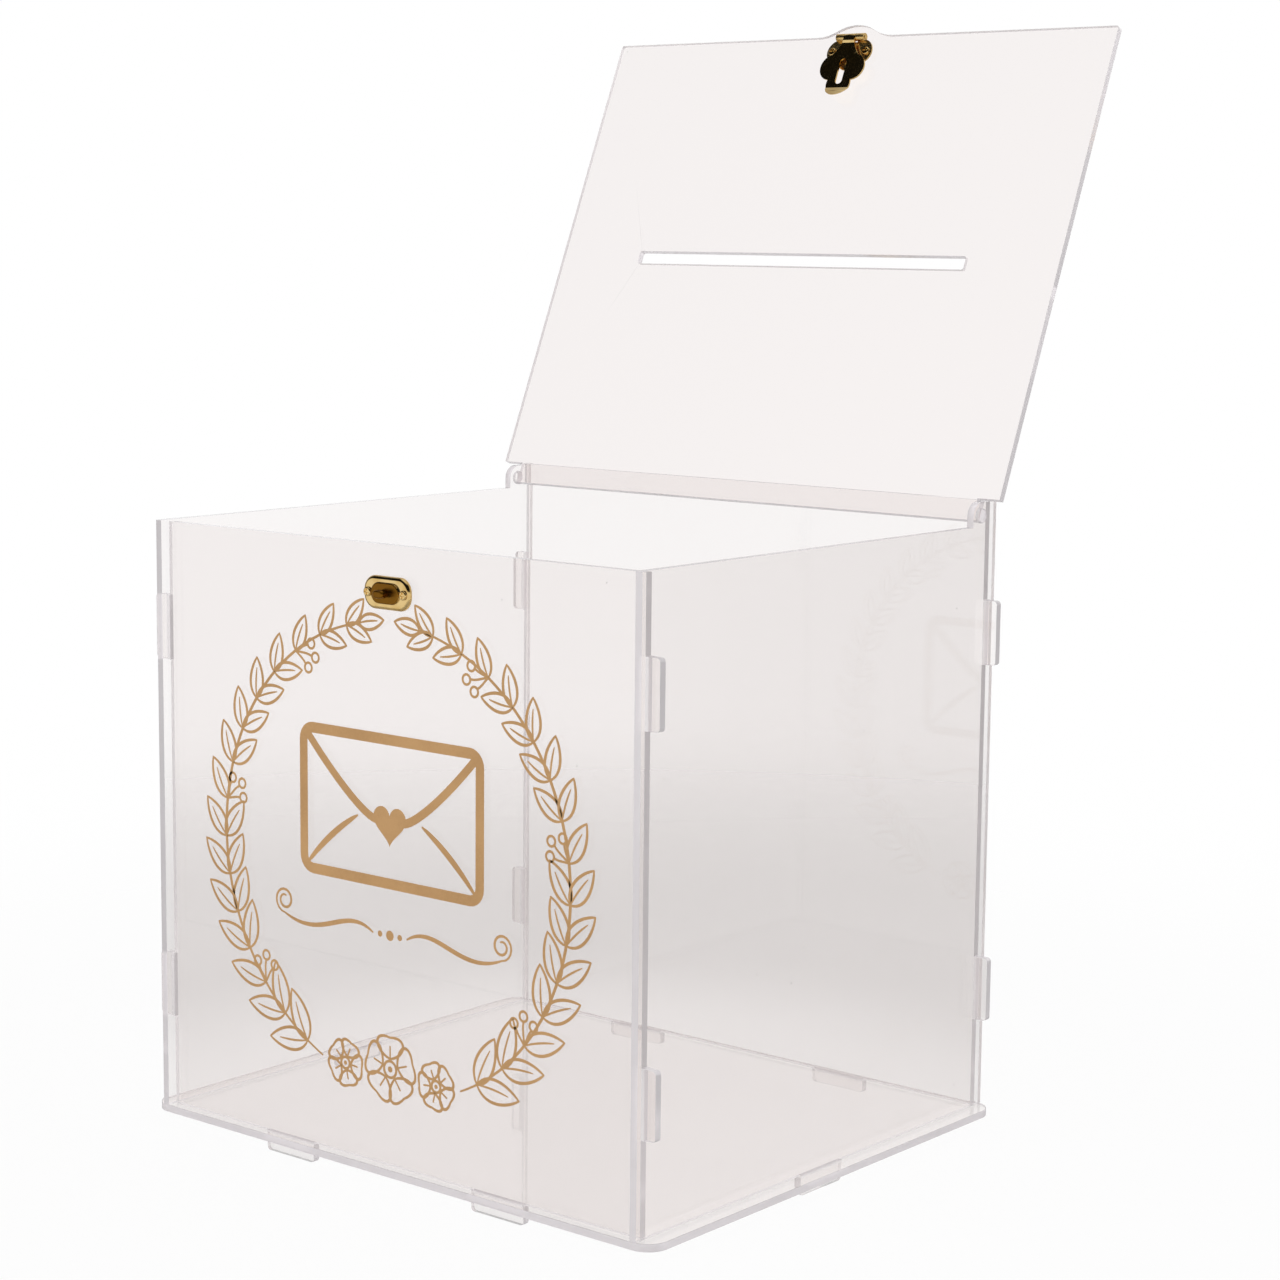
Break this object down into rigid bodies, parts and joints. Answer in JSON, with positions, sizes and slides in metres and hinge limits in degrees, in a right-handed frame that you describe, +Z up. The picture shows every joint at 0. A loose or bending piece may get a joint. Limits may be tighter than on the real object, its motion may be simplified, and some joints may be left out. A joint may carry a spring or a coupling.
{
  "type": "wedding card box",
  "caption": "Clear acrylic card box of tabbed flat panels with a slotted lid that turns in the side panels' ears, a brass hasp on the lid and a brass turn lock on the front.",
  "frame": {"origin": "on the floor under the middle of the box, between the ends of the panels' bottom tabs", "axes": "+Z up, front panel towards -Y, +X to the right seen from the front; the lid leans open at rest"},
  "size_m": [0.264, 0.3008, 0.452],
  "materials": {
    "clear_acrylic": "clear cast acrylic sheet, polished",
    "polished_brass": "polished, gold-coloured plate",
    "gold_print": "gold-coloured print on the front panel's outer face"
  },
  "bodies": {
    "box": {"base_plate": "clear_acrylic", "front_panel": "clear_acrylic", "back_panel": "clear_acrylic", "left_side_panel": "clear_acrylic", "right_side_panel": "clear_acrylic", "lock_plate": "polished_brass", "lock_screw_left": "polished_brass", "lock_screw_right": "polished_brass"},
    "lid": {"lid_panel": "clear_acrylic", "hasp_plate": "polished_brass", "hasp_pin": "polished_brass", "hasp_screw_left": "polished_brass", "hasp_screw_right": "polished_brass"},
    "leaf": {"hasp_leaf": "polished_brass"},
    "knob": {"lock_knob": "polished_brass", "lock_retainer": "polished_brass"}
  },
  "joints": [
    {"name": "lid_hinge", "type": "hinge", "parent": "box", "child": "lid", "pos_m": [0, 0.101, 0.2513], "axis": [1, 0, 0], "range_deg": [0, 113]},
    {"name": "hasp_swing", "type": "hinge", "parent": "lid", "child": "leaf", "pos_m": [0, 0.18031, 0.44647], "axis": [-1, 0, 0], "range_deg": [0, 175]},
    {"name": "knob_turn", "type": "hinge", "parent": "box", "child": "knob", "pos_m": [0, -0.107, 0.2283], "axis": [0, -1, 0], "range_deg": [0, 90]}
  ]
}
